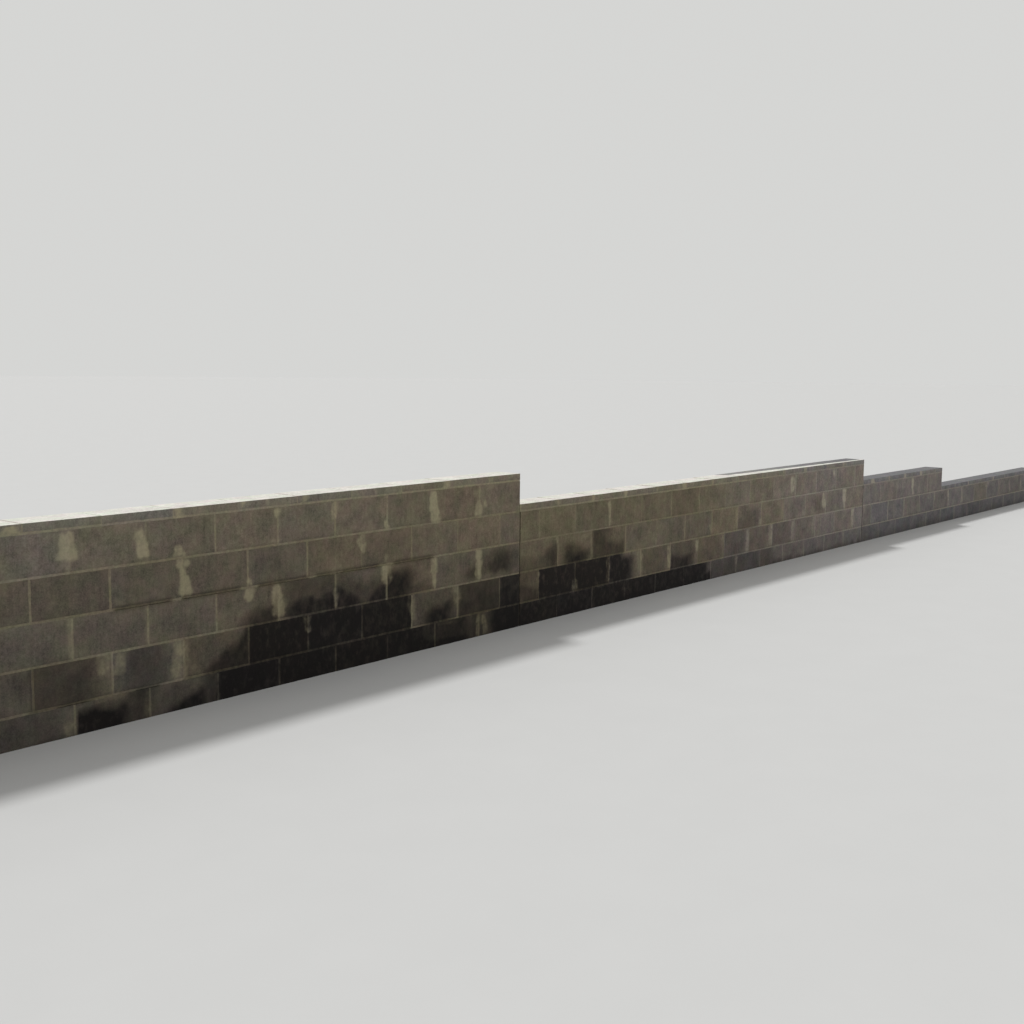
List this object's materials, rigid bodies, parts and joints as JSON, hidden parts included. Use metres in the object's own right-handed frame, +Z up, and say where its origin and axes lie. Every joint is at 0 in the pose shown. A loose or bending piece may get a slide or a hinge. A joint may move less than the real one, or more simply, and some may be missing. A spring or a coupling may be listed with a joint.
{
  "type": "block retaining wall",
  "caption": "Low garden retaining wall of concrete blocks in stretcher bond, stepping down in bays, with flat capping tiles and sealed control joints.",
  "frame": {"origin": "ground level, at the middle of the wall's length and thickness", "axes": "+X along the wall from its highest to its lowest bay, -Y out of the exposed face, +Y out of the face that retains the soil, +Z up"},
  "size_m": [15.59, 0.19, 0.995],
  "materials": {
    "block": "rough grey concrete",
    "capping_tile": "pale concrete, fine grained",
    "joint_filler": "dark foam board",
    "sealant": "matt dark grey"
  },
  "bodies": {
    "root": {"bay_1_course_1": "block", "bay_1_course_2": "block", "bay_1_course_3": "block", "bay_1_course_4": "block", "bay_1_course_5": "block", "bay_2_course_1": "block", "bay_2_course_2": "block", "bay_2_course_3": "block", "bay_2_course_4": "block", "bays_3_4_course_1": "block", "bays_3_4_course_2": "block", "bay_3_course_3": "block", "bay_1_capping": "capping_tile", "bay_2_capping": "capping_tile", "bay_3_capping": "capping_tile", "bay_4_capping": "capping_tile", "joint_1_filler": "joint_filler", "joint_2_filler": "joint_filler", "joint_1_front_seal": "sealant", "joint_1_back_seal": "sealant", "joint_2_front_seal": "sealant", "joint_2_back_seal": "sealant"}
  },
  "joints": []
}
